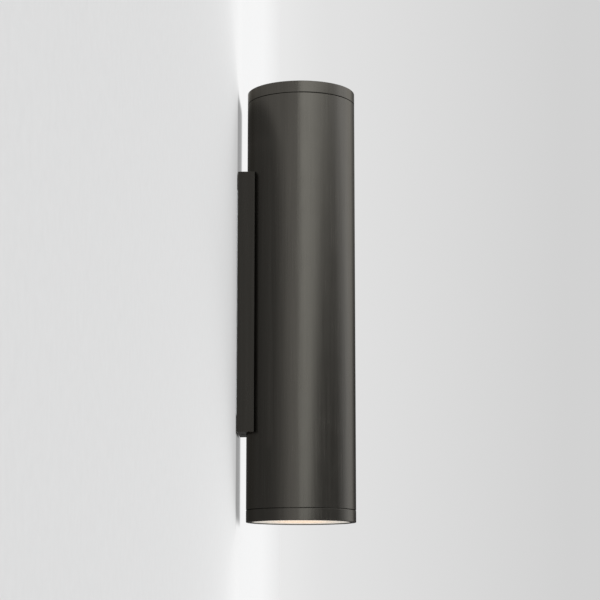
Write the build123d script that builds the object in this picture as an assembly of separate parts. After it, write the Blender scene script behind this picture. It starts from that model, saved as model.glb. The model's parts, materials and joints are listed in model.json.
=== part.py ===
from build123d import *
import math
import os

# Tube wall light, in millimetres. The origin is on the wall at the centre of the back box:
# +Y points into the wall, the tube stands off towards -Y, and +Z is up.

# --- tube and end rings ---
tube_diameter = 75.0
tube_wall = 2.0
overall_height = 300.0
tube_standoff = 6.0  # from the wall to the back of the tube
bezel_height = 8.0  # the ring that shows beyond the seam
seam_gap = 0.3
edge_chamfer = 0.3
spigot_length = 8.0  # the threaded part inside the tube
spigot_wall = 1.0
thread_clearance = 0.08
bezel_opening_diameter = 67.4
bezel_lip = 0.4

# --- lens, gasket and snap ring ---
lens_thickness = 3.0
lens_clearance = 0.1
lens_lip_gap = 0.1
gasket_thickness = 1.5
gasket_width = 2.4
snap_wire_diameter = 1.2
snap_groove_depth = 0.4
snap_groove_play = 0.05
snap_opening_angle = 24.0

# --- back box ---
box_width = 42.0
box_height = 180.0
box_wall = 2.0
box_end_wall = 3.0
box_chamfer = 0.3
wall_gap = 0.4  # the box stops short of the wall
scribe_gap = 0.1  # between the box's front edges and the tube
web_height = 12.0
web_spacing = 108.0
saddle_gap = 0.05  # between a web or spacer and the tube

# --- wall bracket ---
bracket_thickness = 1.5
bracket_side_clearance = 0.5
bracket_bend_radius = 1.5
bracket_web_clearance = 0.3
lug_width = 16.0
lug_clearance = 0.5  # from the lug's face to the box's end wall
lug_tip_gap = 0.6  # from the lug's tip to the tube
lug_tongue_length = 6.0
wall_slot_diameter = 4.5
wall_slot_length = 10.0
wall_slot_spacing = 144.0
cable_hole_diameter = 15.0
grommet_bore_diameter = 9.0
grommet_flange_width = 1.6
grommet_flange_height = 1.2
grommet_clearance = 0.05
earth_screw_x = 12.0
earth_screw_z = 24.0

# --- cable window in the tube ---
window_width = 22.0
window_height = 50.0

# --- chassis ---
chassis_width = 30.0
chassis_thickness = 1.5
chassis_clearance = 0.25  # from the strip's corners to the tube's bore
chassis_bend_radius = 1.5
chassis_window_width = 20.0
chassis_window_height = 34.0
shelf_reach = 10.0  # past the tube's axis
shelf_wire_hole_diameter = 5.0
spacer_diameter = 9.0
tag_diameter = 8.0
tag_thickness = 0.8
tag_barrel_length = 5.0
tag_barrel_wall = 0.5
tag_z = -42.0

# --- lamps ---
lamp_face_inset = 14.0  # from the end of the light to the lamp's face
lamp_face_diameter = 50.0
lamp_length = 50.0  # without the pins
lamp_rim_height = 4.0
lamp_rim_step = 0.8
lamp_base_diameter = 29.0
lamp_base_height = 16.0
lamp_base_floor = 4.0
lamp_wall = 1.6
lamp_glass_diameter = 44.0
lamp_glass_thickness = 2.0
lamp_glass_inset = 0.5
lamp_glass_clearance = 0.1
lamp_glass_ledge = 2.0
pin_pitch = 10.0
pin_head_diameter = 4.8
pin_neck_diameter = 3.0
pin_length = 7.0
pin_head_height = 2.0
pin_seat_depth = 2.5
pin_seat_clearance = 0.03
twist_angle = 25.0

# --- lampholders ---
holder_width = 29.0
holder_depth = 17.0
holder_height = 20.0
holder_corner_radius = 3.0
holder_gap = 0.3  # between the lamp's base and the holder
holder_screw_spacing = 22.0
pin_side_clearance = 0.3
pin_entry_clearance = 0.5
pin_roof_clearance = 0.2
pin_floor_clearance = 0.2
contact_thickness = 0.8
contact_diameter = 4.8
contact_barrel_length = 8.0
contact_barrel_wall = 0.6
contact_clearance = 0.1

# --- supply terminals ---
block_width = 27.0
block_height = 32.0
block_depth = 12.0
block_ear_height = 10.0
block_ear_thickness = 2.5
block_corner_radius = 1.0
block_screw_x = 4.0
block_pole_pitch = 8.0
clamp_length = 26.0
clamp_diameter = 4.6
clamp_clearance = 0.1
terminal_screw_diameter = 2.4
terminal_screw_height = 3.6
terminal_screw_inset = 5.0  # from the clamp's end
terminal_tip_gap = 0.1

# --- screws and washers ---
m4_diameter = 4.0
m4_head_diameter = 8.0
m4_head_height = 2.6
m4_length = 10.0
m4_short_length = 5.0
m3_diameter = 3.0
m3_head_diameter = 5.6
m3_head_height = 2.0
m3_length = 7.0
m3_short_length = 5.5
head_edge_radius = 0.6
screw_hole_clearance = 0.2
thread_fit = 0.05
slot_width = 0.8
slot_depth = 0.9
washer_diameter = 9.0
washer_thickness = 0.8
bracket_screw_tip_gap = 0.1  # the earth screw stops short of the wall
grub_diameter = 3.0
grub_recess = 0.3
grub_tip_gap = 0.1
grub_socket_width = 1.5
grub_socket_depth = 1.6

# --- wires ---
wire_diameter = 2.2
wire_bore_clearance = 0.1
wire_grip = 4.0  # how far a wire's end goes into a barrel
wire_past_screw = 2.0
wire_drop = 20.0  # the straight start below the holder
wire_lead_in = 20.0  # the straight end above the terminals
bend_share = 0.45  # of the shorter run beside a bend
earth_wire_drop = 17.0  # straight below the terminal
earth_wire_step = 3.0  # above the tag's barrel

# --- worked out from the sizes above ---
half_height = overall_height / 2
tube_radius = tube_diameter / 2
bore_radius = tube_radius - tube_wall
axis_y = -(tube_standoff + tube_radius)
seat_z = half_height - bezel_height
tube_half = seat_z - seam_gap
spigot_radius = bore_radius - thread_clearance
pocket_radius = spigot_radius - spigot_wall
lip_z = half_height - bezel_lip
lens_radius = pocket_radius - lens_clearance
lens_face_z = lip_z - lens_lip_gap
gasket_face_z = lens_face_z - lens_thickness
snap_face_z = gasket_face_z - gasket_thickness
snap_wire_radius = snap_wire_diameter / 2
snap_centre_z = snap_face_z - snap_wire_radius
snap_groove_radius = pocket_radius + snap_groove_depth
snap_centre_radius = snap_groove_radius - snap_groove_play - snap_wire_radius
web_z = web_spacing / 2
box_inner_half_width = box_width / 2 - box_wall
box_inner_half_height = box_height / 2 - box_end_wall
bracket_half_width = box_inner_half_width - bracket_side_clearance
lug_face_z = box_inner_half_height - lug_clearance
grub_y = -(bracket_thickness + tube_standoff) / 2
chassis_back_y = axis_y + math.sqrt((bore_radius - chassis_clearance) ** 2 - (chassis_width / 2) ** 2)
chassis_front_y = chassis_back_y - chassis_thickness
lamp_face_z = half_height - lamp_face_inset
lamp_base_z = lamp_face_z - lamp_length
pin_neck_length = pin_length - pin_head_height
holder_top_z = lamp_base_z - holder_gap
holder_foot_z = holder_top_z - holder_height
shelf_under_z = holder_foot_z - chassis_thickness
pin_head_top_z = lamp_base_z - pin_neck_length
pin_head_foot_z = lamp_base_z - pin_length
slot_floor_z = pin_head_foot_z - pin_floor_clearance - contact_thickness
contact_foot_z = slot_floor_z - contact_barrel_length
wire_radius = wire_diameter / 2
wire_bore_radius = wire_radius + wire_bore_clearance
contact_barrel_radius = wire_bore_radius + contact_barrel_wall
pole_y = chassis_front_y - block_depth / 2
pole_places = [-block_pole_pitch, 0.0, block_pole_pitch]
terminal_screw_z = clamp_length / 2 - terminal_screw_inset
block_screw_z = (block_height + block_ear_height) / 2
tag_barrel_radius = wire_bore_radius + tag_barrel_wall


# --- shapes that several pieces share ---
def cylinder_z(radius, low_z, high_z, x=0.0, y=0.0):
    upright = Cylinder(radius, high_z - low_z, align=(Align.CENTER, Align.CENTER, Align.MIN))
    return Pos(x, y, low_z) * upright


def cylinder_y(radius, low_y, high_y, x=0.0, z=0.0):
    upright = Cylinder(radius, high_y - low_y, align=(Align.CENTER, Align.CENTER, Align.MIN))
    return Pos(x, low_y, z) * Rot(-90, 0, 0) * upright


def block(x_range, y_range, z_range):
    ranges = (x_range, y_range, z_range)
    size = [high - low for low, high in ranges]
    centre = [(high + low) / 2 for low, high in ranges]
    return Pos(*centre) * Box(*size)


def lathe(points):
    # a closed outline of (radius, z) points, turned about the tube's axis
    outline = make_face(Polyline(*[(radius, 0, z) for radius, z in points], close=True))
    return Pos(0, axis_y, 0) * revolve(outline, axis=Axis.Z)


def other_end(piece):
    return Rot(0, 180, 0) * piece


def bent_strip(half_width, back_y, tip_y, half_length, thickness, bend_radius):
    # a flat strip against back_y with both ends bent square towards the front
    outer = block((-half_width, half_width), (tip_y, back_y), (-half_length, half_length))
    outer_corners = outer.edges().filter_by(Axis.X).group_by(Axis.Y)[-1]
    outer = fillet(outer_corners, bend_radius + thickness)
    inner_half = half_length - thickness
    inner_depth = (tip_y - thickness, back_y - thickness)
    inner = block((-half_width, half_width), inner_depth, (-inner_half, inner_half))
    inner_corners = inner.edges().filter_by(Axis.X).group_by(Axis.Y)[-1]
    return outer - fillet(inner_corners, bend_radius)


def pan_screw(diameter, length, head_diameter, head_height):
    # head above z = 0 with a screwdriver slot, shank below
    head = cylinder_z(head_diameter / 2, 0, head_height)
    head = fillet(head.edges().group_by(Axis.Z)[-1], head_edge_radius)
    slot_half, slot_floor = slot_width / 2, head_height - slot_depth
    slot = block((-head_diameter, head_diameter), (-slot_half, slot_half), (slot_floor, head_height))
    return head - slot + cylinder_z(diameter / 2, -length, 0)


def m4_screw(length):
    return pan_screw(m4_diameter, length, m4_head_diameter, m4_head_height)


def m3_screw(length):
    return pan_screw(m3_diameter, length, m3_head_diameter, m3_head_height)


def facing_front(piece, x, y, z):
    # turns a screw so that its head faces the room
    return Pos(x, y, z) * Rot(90, 0, 0) * piece


def write(name, *pieces):
    solids = [solid for piece in pieces for solid in piece.solids()]
    shape = solids[0] if len(solids) == 1 else Compound(children=solids)
    export_step(shape, f"parts/{name}.step")


# --- the tube and its end rings ---
def make_tube():
    tube = lathe([
        (bore_radius, -tube_half), (tube_radius - edge_chamfer, -tube_half),
        (tube_radius, -tube_half + edge_chamfer), (tube_radius, tube_half - edge_chamfer),
        (tube_radius - edge_chamfer, tube_half), (bore_radius, tube_half),
    ])
    half_width, half_window = window_width / 2, window_height / 2
    tube -= block((-half_width, half_width), (axis_y, 0), (-half_window, half_window))
    for z in (-web_z, web_z):
        tube -= cylinder_y(m4_diameter / 2 + screw_hole_clearance, axis_y, 0, z=z)
    return tube


def make_bezel():
    opening_radius = bezel_opening_diameter / 2
    foot_z = seat_z - spigot_length
    groove_half = snap_wire_radius + snap_groove_play
    return lathe([
        (opening_radius, lip_z), (opening_radius, half_height - edge_chamfer),
        (opening_radius + edge_chamfer, half_height), (tube_radius - edge_chamfer, half_height),
        (tube_radius, half_height - edge_chamfer), (tube_radius, seat_z + edge_chamfer),
        (tube_radius - edge_chamfer, seat_z), (spigot_radius, seat_z),
        (spigot_radius, foot_z + edge_chamfer), (spigot_radius - edge_chamfer, foot_z),
        (pocket_radius, foot_z), (pocket_radius, snap_centre_z - groove_half),
        (snap_groove_radius, snap_centre_z - groove_half),
        (snap_groove_radius, snap_centre_z + groove_half),
        (pocket_radius, snap_centre_z + groove_half), (pocket_radius, lip_z),
    ])


def make_lens():
    return lathe([
        (0, gasket_face_z), (lens_radius - edge_chamfer, gasket_face_z),
        (lens_radius, gasket_face_z + edge_chamfer), (lens_radius, lens_face_z - edge_chamfer),
        (lens_radius - edge_chamfer, lens_face_z), (0, lens_face_z),
    ])


def make_gasket():
    inner_radius = lens_radius - gasket_width
    return lathe([
        (inner_radius, snap_face_z), (lens_radius, snap_face_z),
        (lens_radius, gasket_face_z), (inner_radius, gasket_face_z),
    ])


def make_snap_ring():
    section = Plane.XZ * Pos(snap_centre_radius, snap_centre_z) * Circle(snap_wire_radius)
    ring = revolve(section, axis=Axis.Z, revolution_arc=360 - snap_opening_angle)
    return Pos(0, axis_y, 0) * ring


# --- the back box ---
def make_back_box():
    half_width, half_box = box_width / 2, box_height / 2
    web_back_y = -(bracket_thickness + bracket_web_clearance)
    box = block((-half_width, half_width), (axis_y, -wall_gap), (-half_box, half_box))
    box -= cylinder_z(tube_radius + scribe_gap, -half_box, half_box, y=axis_y)
    upright_edges = box.edges().filter_by(Axis.Z)
    corners = [edge for edge in upright_edges if abs(edge.center().X) > box_inner_half_width]
    rims = box.edges().group_by(Axis.Z)
    box = chamfer([*corners, *rims[0], *rims[-1]], box_chamfer)
    box -= block(
        (-box_inner_half_width, box_inner_half_width), (axis_y, 0),
        (-box_inner_half_height, box_inner_half_height),
    )
    for z in (-web_z, web_z):
        web = block(
            (-box_inner_half_width, box_inner_half_width), (axis_y, web_back_y),
            (z - web_height / 2, z + web_height / 2),
        )
        web -= cylinder_z(tube_radius + saddle_gap, -half_box, half_box, y=axis_y)
        web -= cylinder_y(m4_diameter / 2 + thread_fit, axis_y, 0, z=z)
        box += web
    return box - cylinder_z(grub_diameter / 2 + thread_fit, -half_box, half_box, y=grub_y)


def make_grub_screw():
    low_z = lug_face_z + grub_tip_gap
    high_z = box_height / 2 - grub_recess
    socket = RegularPolygon(grub_socket_width / 2, 6, major_radius=False)
    screw = cylinder_z(grub_diameter / 2, low_z, high_z, y=grub_y)
    return screw - extrude(Pos(0, grub_y, high_z) * socket, amount=-grub_socket_depth)


# --- the wall bracket ---
def make_wall_bracket():
    lug_tip_y = -(tube_standoff - lug_tip_gap)
    bracket = bent_strip(
        bracket_half_width, 0, lug_tip_y, lug_face_z, bracket_thickness, bracket_bend_radius
    )
    shoulder_z = lug_face_z - bracket_thickness - bracket_bend_radius - lug_tongue_length
    for side in (-1, 1):
        x_range = sorted((side * lug_width / 2, side * bracket_half_width))
        for end in (-1, 1):
            z_range = sorted((end * shoulder_z, end * lug_face_z))
            bracket -= block(x_range, (lug_tip_y, 0), z_range)
    slot = SlotOverall(wall_slot_length, wall_slot_diameter, rotation=90)
    for z in (-wall_slot_spacing / 2, wall_slot_spacing / 2):
        bracket -= extrude(Plane.XZ * Pos(0, z) * slot, amount=bracket_thickness)
    bracket -= cylinder_y(cable_hole_diameter / 2, -bracket_thickness, 0)
    earth_hole_radius = m4_diameter / 2 + thread_fit
    return bracket - cylinder_y(earth_hole_radius, -bracket_thickness, 0, earth_screw_x, earth_screw_z)


def make_cable_grommet():
    hole_radius = cable_hole_diameter / 2
    flange_y = -(bracket_thickness + grommet_flange_height)
    grommet = cylinder_y(hole_radius - grommet_clearance, -bracket_thickness, 0)
    grommet += cylinder_y(hole_radius + grommet_flange_width, flange_y, -bracket_thickness)
    return grommet - cylinder_y(grommet_bore_diameter / 2, flange_y, 0)


def make_earth_washer():
    front_y = -(bracket_thickness + washer_thickness)
    washer = cylinder_y(washer_diameter / 2, front_y, -bracket_thickness, earth_screw_x, earth_screw_z)
    hole_radius = m4_diameter / 2 + screw_hole_clearance
    return washer - cylinder_y(hole_radius, front_y, 0, earth_screw_x, earth_screw_z)


def make_earth_screw():
    washer_face = bracket_thickness + washer_thickness
    screw = m4_screw(washer_face - bracket_screw_tip_gap)
    return facing_front(screw, earth_screw_x, -washer_face, earth_screw_z)


# --- the chassis and what holds it ---
def make_chassis():
    chassis = bent_strip(
        chassis_width / 2, chassis_back_y, axis_y - shelf_reach, holder_foot_z,
        chassis_thickness, chassis_bend_radius,
    )
    half_width, half_window = chassis_window_width / 2, chassis_window_height / 2
    back = (chassis_front_y, chassis_back_y)
    chassis -= block((-half_width, half_width), back, (-half_window, half_window))
    for z in (-web_z, web_z):
        chassis -= cylinder_y(m4_diameter / 2 + screw_hole_clearance, *back, z=z)
    chassis -= cylinder_y(m4_diameter / 2 + thread_fit, *back, z=tag_z)
    for side in (-1, 1):
        chassis -= cylinder_y(m3_diameter / 2 + thread_fit, *back, side * block_screw_x, side * block_screw_z)
        screw_hole = cylinder_z(
            m3_diameter / 2 + screw_hole_clearance, -holder_foot_z, holder_foot_z,
            side * holder_screw_spacing / 2, axis_y,
        )
        wire_hole = cylinder_z(
            shelf_wire_hole_diameter / 2, -holder_foot_z, holder_foot_z, side * pin_pitch / 2, axis_y
        )
        chassis -= screw_hole + wire_hole
    return chassis


def make_saddle_spacer(z):
    spacer = cylinder_y(spacer_diameter / 2, chassis_back_y, 0, z=z)
    spacer &= cylinder_z(bore_radius - saddle_gap, z - spacer_diameter, z + spacer_diameter, y=axis_y)
    return spacer - cylinder_y(m4_diameter / 2 + screw_hole_clearance, axis_y, 0, z=z)


def make_tube_screw(z):
    return facing_front(m4_screw(m4_length), 0, chassis_front_y, z)


def make_earth_tag():
    front_y = chassis_front_y - tag_thickness
    barrel_y = chassis_front_y - tag_barrel_radius
    barrel_foot_z = tag_z + tag_diameter / 2
    tag = cylinder_y(tag_diameter / 2, front_y, chassis_front_y, z=tag_z)
    tag += block(
        (-tag_barrel_radius / 2, tag_barrel_radius / 2), (front_y, chassis_front_y),
        (tag_z, barrel_foot_z + tag_barrel_wall),
    )
    tag += cylinder_z(tag_barrel_radius, barrel_foot_z, barrel_foot_z + tag_barrel_length, y=barrel_y)
    tag -= cylinder_z(
        wire_bore_radius, barrel_foot_z + tag_barrel_wall, barrel_foot_z + tag_barrel_length, y=barrel_y
    )
    return tag - cylinder_y(m4_diameter / 2 + screw_hole_clearance, front_y, chassis_front_y, z=tag_z)


def make_tag_screw():
    return facing_front(m4_screw(m4_short_length), 0, chassis_front_y - tag_thickness, tag_z)


# --- the supply terminals ---
def make_terminal_block():
    half_width, half_block = block_width / 2, block_height / 2
    body = block(
        (-half_width, half_width), (chassis_front_y - block_depth, chassis_front_y), (-half_block, half_block)
    )
    body = fillet(body.edges().filter_by(Axis.Z).group_by(Axis.Y)[0], block_corner_radius)
    ear_front_y = chassis_front_y - block_ear_thickness
    ear_tip = half_block + block_ear_height
    ears = block((-half_width, half_width), (ear_front_y, chassis_front_y), (-ear_tip, ear_tip))
    body += fillet(ears.edges().filter_by(Axis.Y), block_corner_radius)
    for x in pole_places:
        body -= cylinder_z(clamp_diameter / 2 + clamp_clearance, -half_block, half_block, x, pole_y)
        for z in (-terminal_screw_z, terminal_screw_z):
            body -= cylinder_y(
                terminal_screw_diameter / 2 + screw_hole_clearance, pole_y, chassis_front_y, x, z
            )
    for side in (-1, 1):
        hole_radius = m3_diameter / 2 + screw_hole_clearance
        body -= cylinder_y(
            hole_radius, ear_front_y, chassis_front_y, side * block_screw_x, side * block_screw_z
        )
    return body


def make_terminal_clamp(x):
    clamp = cylinder_z(clamp_diameter / 2, -clamp_length / 2, clamp_length / 2, x, pole_y)
    clamp -= cylinder_z(wire_bore_radius, -clamp_length / 2, clamp_length / 2, x, pole_y)
    for z in (-terminal_screw_z, terminal_screw_z):
        hole_radius = terminal_screw_diameter / 2 + thread_fit
        clamp -= cylinder_y(hole_radius, pole_y, pole_y + clamp_diameter, x, z)
    return clamp


def make_terminal_screw(x, z):
    tip_y = pole_y + wire_radius + terminal_tip_gap
    screw = cylinder_y(terminal_screw_diameter / 2, tip_y, tip_y + terminal_screw_height, x, z)
    slot_y = tip_y + terminal_screw_height
    slot_half = slot_width / 2
    reach = terminal_screw_diameter
    slot_range = (slot_y - slot_depth, slot_y)
    return screw - block((x - reach, x + reach), slot_range, (z - slot_half, z + slot_half))


def make_block_screw(side):
    screw = m3_screw(m3_short_length)
    seat_y = chassis_front_y - block_ear_thickness
    return facing_front(screw, side * block_screw_x, seat_y, side * block_screw_z)


# --- the lampholders ---
def pin_path(width, low_z, high_z):
    # the curved slots that both pins sweep as the lamp twists
    slots = [
        SlotArc(CenterArc((0, 0), pin_pitch / 2, start, twist_angle), width) for start in (0, 180)
    ]
    paths = [extrude(Pos(0, axis_y, low_z) * slot, amount=high_z - low_z) for slot in slots]
    return paths[0] + paths[1]


def make_holder():
    outline = RectangleRounded(holder_width, holder_depth, holder_corner_radius)
    holder = extrude(Pos(0, axis_y, holder_foot_z) * outline, amount=holder_height)
    roof_z = pin_head_top_z + pin_roof_clearance
    holder -= pin_path(pin_neck_diameter + 2 * pin_side_clearance, roof_z, holder_top_z)
    holder -= pin_path(pin_head_diameter + 2 * pin_side_clearance, slot_floor_z, roof_z)
    entry_radius = pin_head_diameter / 2 + pin_entry_clearance
    for side in (-1, 1):
        entry_x = side * pin_pitch / 2 * math.cos(math.radians(twist_angle))
        entry_y = side * pin_pitch / 2 * math.sin(math.radians(twist_angle))
        holder -= cylinder_z(entry_radius, roof_z, holder_top_z, entry_x, axis_y + entry_y)
        barrel_bore = contact_barrel_radius + contact_clearance
        holder -= cylinder_z(barrel_bore, holder_foot_z, slot_floor_z, side * pin_pitch / 2, axis_y)
        holder -= cylinder_z(
            m3_diameter / 2 + thread_fit, holder_foot_z, holder_foot_z + m3_length,
            side * holder_screw_spacing / 2, axis_y,
        )
    return holder


def make_holder_contact(side):
    x = side * pin_pitch / 2
    contact = cylinder_z(contact_diameter / 2, slot_floor_z, slot_floor_z + contact_thickness, x, axis_y)
    contact += cylinder_z(contact_barrel_radius, contact_foot_z, slot_floor_z, x, axis_y)
    return contact - cylinder_z(wire_bore_radius, contact_foot_z, contact_foot_z + wire_grip, x, axis_y)


def make_holder_screw(side):
    # up through the shelf, with its head below
    screw = Rot(180, 0, 0) * m3_screw(m3_length)
    return Pos(side * holder_screw_spacing / 2, axis_y, shelf_under_z) * screw


# --- the lamps ---
def make_lamp_shell():
    face_radius, base_radius = lamp_face_diameter / 2, lamp_base_diameter / 2
    glass_radius = lamp_glass_diameter / 2
    rim_z = lamp_face_z - lamp_rim_height
    neck_z = lamp_base_z + lamp_base_height
    ledge_z = lamp_face_z - lamp_glass_inset - lamp_glass_thickness
    cone_radius = face_radius - lamp_rim_step
    shell = lathe([
        (0, lamp_base_z), (base_radius - edge_chamfer, lamp_base_z),
        (base_radius, lamp_base_z + edge_chamfer), (base_radius, neck_z),
        (cone_radius, rim_z), (face_radius, rim_z),
        (face_radius, lamp_face_z - edge_chamfer), (face_radius - edge_chamfer, lamp_face_z),
        (glass_radius, lamp_face_z), (glass_radius, ledge_z),
        (glass_radius - lamp_glass_ledge, ledge_z), (base_radius - lamp_wall, neck_z),
        (base_radius - lamp_wall, lamp_base_z + lamp_base_floor), (0, lamp_base_z + lamp_base_floor),
    ])
    seat_radius = pin_neck_diameter / 2 + pin_seat_clearance
    for side in (-1, 1):
        shell -= cylinder_z(
            seat_radius, lamp_base_z, lamp_base_z + pin_seat_depth, side * pin_pitch / 2, axis_y
        )
    return shell


def make_lamp_glass():
    face_z = lamp_face_z - lamp_glass_inset
    radius = lamp_glass_diameter / 2 - lamp_glass_clearance
    return cylinder_z(radius, face_z - lamp_glass_thickness, face_z, y=axis_y)


def make_lamp_pin(side):
    x = side * pin_pitch / 2
    pin = cylinder_z(pin_neck_diameter / 2, pin_head_top_z, lamp_base_z + pin_seat_depth, x, axis_y)
    return pin + cylinder_z(pin_head_diameter / 2, pin_head_foot_z, pin_head_top_z, x, axis_y)


# --- the wires, each whole from barrel to terminal ---
def sweep_wire(name, points):
    runs = [Vector(after) - Vector(before) for before, after in zip(points, points[1:])]
    radii = []
    for before, after in zip(runs, runs[1:]):
        half_turn = math.radians(before.get_angle(after)) / 2
        radii.append(bend_share * min(before.length, after.length) / math.tan(half_turn))
    path = FilletPolyline(*points, radius=radii)
    section = Plane(origin=points[0], z_dir=runs[0]) * Circle(wire_radius)
    print(name, "bend radii", [round(radius, 1) for radius in radii], "length", round(path.length, 1))
    return sweep(section, path=path)


def make_lamp_wire(name, side, end):
    # side is -1 for live and 1 for neutral, end is 1 for the top lamp and -1 for the bottom one
    top_z = contact_foot_z + wire_grip
    holder_x, pole_x = side * pin_pitch / 2, side * block_pole_pitch
    tip_z = terminal_screw_z - wire_past_screw
    return sweep_wire(name, [
        (holder_x, axis_y, end * top_z),
        (holder_x, axis_y, end * (top_z - wire_drop)),
        (pole_x, pole_y, end * (tip_z + wire_lead_in)),
        (pole_x, pole_y, end * tip_z),
    ])


def make_earth_wire():
    tag_y = chassis_front_y - tag_barrel_radius
    tag_mouth_z = tag_z + tag_diameter / 2 + tag_barrel_length
    tip_z = -(terminal_screw_z - wire_past_screw)
    return sweep_wire("earth_wire", [
        (0, pole_y, tip_z),
        (0, pole_y, tip_z - earth_wire_drop),
        (0, tag_y, tag_mouth_z + earth_wire_step),
        (0, tag_y, tag_mouth_z - wire_grip),
    ])


def main():
    os.makedirs("parts", exist_ok=True)
    write("tube", make_tube())
    write("back_box", make_back_box())
    write("wall_bracket", make_wall_bracket())
    write("cable_grommet", make_cable_grommet())
    write("earth_washer", make_earth_washer())
    write("earth_screw", make_earth_screw())
    write("grub_screws", make_grub_screw(), other_end(make_grub_screw()))
    write("chassis", make_chassis())
    write("saddle_spacers", *[make_saddle_spacer(z) for z in (-web_z, web_z)])
    write("tube_screws", *[make_tube_screw(z) for z in (-web_z, web_z)])
    write("earth_tag", make_earth_tag())
    write("tag_screw", make_tag_screw())
    write("terminal_block", make_terminal_block())
    write("terminal_clamps", *[make_terminal_clamp(x) for x in pole_places])
    screw_rows = (-terminal_screw_z, terminal_screw_z)
    write("terminal_screws", *[make_terminal_screw(x, z) for x in pole_places for z in screw_rows])
    write("block_screws", *[make_block_screw(side) for side in (-1, 1)])
    end_pieces = {
        "bezel": [make_bezel()],
        "lens": [make_lens()],
        "lens_gasket": [make_gasket()],
        "snap_ring": [make_snap_ring()],
        "lamp_shell": [make_lamp_shell()],
        "lamp_glass": [make_lamp_glass()],
        "lamp_pins": [make_lamp_pin(side) for side in (-1, 1)],
        "holder": [make_holder()],
        "holder_contacts": [make_holder_contact(side) for side in (-1, 1)],
        "holder_screws": [make_holder_screw(side) for side in (-1, 1)],
    }
    for name, pieces in end_pieces.items():
        write(f"top_{name}", *pieces)
        write(f"bottom_{name}", *[other_end(piece) for piece in pieces])
    for end_name, end in (("top", 1), ("bottom", -1)):
        for wire_name, side in (("live", -1), ("neutral", 1)):
            name = f"{end_name}_{wire_name}_wire"
            write(name, make_lamp_wire(name, side, end))
    write("earth_wire", make_earth_wire())


main()
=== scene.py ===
import json
import math

import bmesh
import bpy
from mathutils import Matrix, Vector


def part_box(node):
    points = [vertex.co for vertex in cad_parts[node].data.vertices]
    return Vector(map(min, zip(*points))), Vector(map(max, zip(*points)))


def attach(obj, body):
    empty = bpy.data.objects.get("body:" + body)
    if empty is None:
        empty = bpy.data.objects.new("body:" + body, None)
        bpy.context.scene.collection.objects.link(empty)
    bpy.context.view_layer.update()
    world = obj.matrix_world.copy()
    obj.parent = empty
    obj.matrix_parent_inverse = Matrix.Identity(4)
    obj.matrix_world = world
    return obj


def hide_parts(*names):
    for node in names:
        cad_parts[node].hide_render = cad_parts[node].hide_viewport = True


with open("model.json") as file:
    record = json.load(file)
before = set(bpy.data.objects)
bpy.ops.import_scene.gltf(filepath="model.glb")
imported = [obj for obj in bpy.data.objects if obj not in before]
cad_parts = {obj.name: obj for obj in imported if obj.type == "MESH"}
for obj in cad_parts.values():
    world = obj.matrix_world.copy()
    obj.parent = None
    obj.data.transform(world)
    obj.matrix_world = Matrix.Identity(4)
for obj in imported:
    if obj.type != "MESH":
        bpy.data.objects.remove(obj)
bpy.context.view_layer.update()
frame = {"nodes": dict(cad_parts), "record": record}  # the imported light, which stays as it is
print("frame loaded:", len(frame["nodes"]), "packed pieces")

mm = 0.001  # pieces are made in millimetres and brought to metres when they are finished
axisY = -43.5  # the tube's axis stands this far off the wall


# most of a noise's values lie in the wide span; the narrow one gives more contrast
wideSpan = (0.3, 0.7)
narrowSpan = (0.35, 0.65)


# shader helpers
def addNode(tree, kind, inputs=None, **settings):
    node = tree.nodes.new("ShaderNode" + kind)
    for name, value in settings.items():
        setattr(node, name, value)
    for name, value in (inputs or {}).items():
        if isinstance(value, bpy.types.NodeSocket):
            tree.links.new(value, node.inputs[name])
        else:
            node.inputs[name].default_value = value
    return node


def calc(tree, operation, *values, clamp=False):
    inputs = dict(enumerate(values))
    return addNode(tree, "Math", inputs, operation=operation, use_clamp=clamp).outputs[0]


def mixColour(tree, factor, first, second, blend="MIX"):
    inputs = {0: factor, 6: first, 7: second}
    return addNode(tree, "Mix", inputs, data_type="RGBA", blend_type=blend).outputs[2]


def remap(tree, value, fromLow, fromHigh, toLow=0.0, toHigh=1.0, smooth=False):
    kind = "SMOOTHSTEP" if smooth else "LINEAR"
    inputs = {"Value": value, "From Min": fromLow, "From Max": fromHigh, "To Min": toLow, "To Max": toHigh}
    return addNode(tree, "MapRange", inputs, interpolation_type=kind).outputs[0]


def between(tree, rising, rise, falling, fall, smooth=True):
    # 1 inside a band, whose two edges are each given as where they start and end
    return calc(
        tree, "MULTIPLY",
        remap(tree, rising, *rise, 0.0, 1.0, smooth),
        remap(tree, falling, *fall, 1.0, 0.0, smooth),
    )


def nearness(tree, distance, length):
    # 1 at no distance, dying away over a length
    return calc(tree, "EXPONENT", calc(tree, "DIVIDE", distance, -length))


def objectSpace(tree):
    return addNode(tree, "TexCoord").outputs["Object"]


def noise(tree, vector, scale, detail, **more):
    inputs = {"Vector": vector, "Scale": scale, "Detail": detail}
    inputs.update({name.capitalize(): value for name, value in more.items()})
    return addNode(tree, "TexNoise", inputs).outputs["Fac"]


def bumped(tree, height, strength, distance):
    return addNode(tree, "Bump", {"Height": height, "Strength": strength, "Distance": distance}).outputs[0]


def blend(tree, share, first, second):
    # from the first value to the second as the share goes from 0 to 1
    return calc(tree, "MULTIPLY_ADD", share, calc(tree, "SUBTRACT", second, first), first)


def colour(red, green, blue):
    return (red, green, blue, 1.0)


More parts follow.
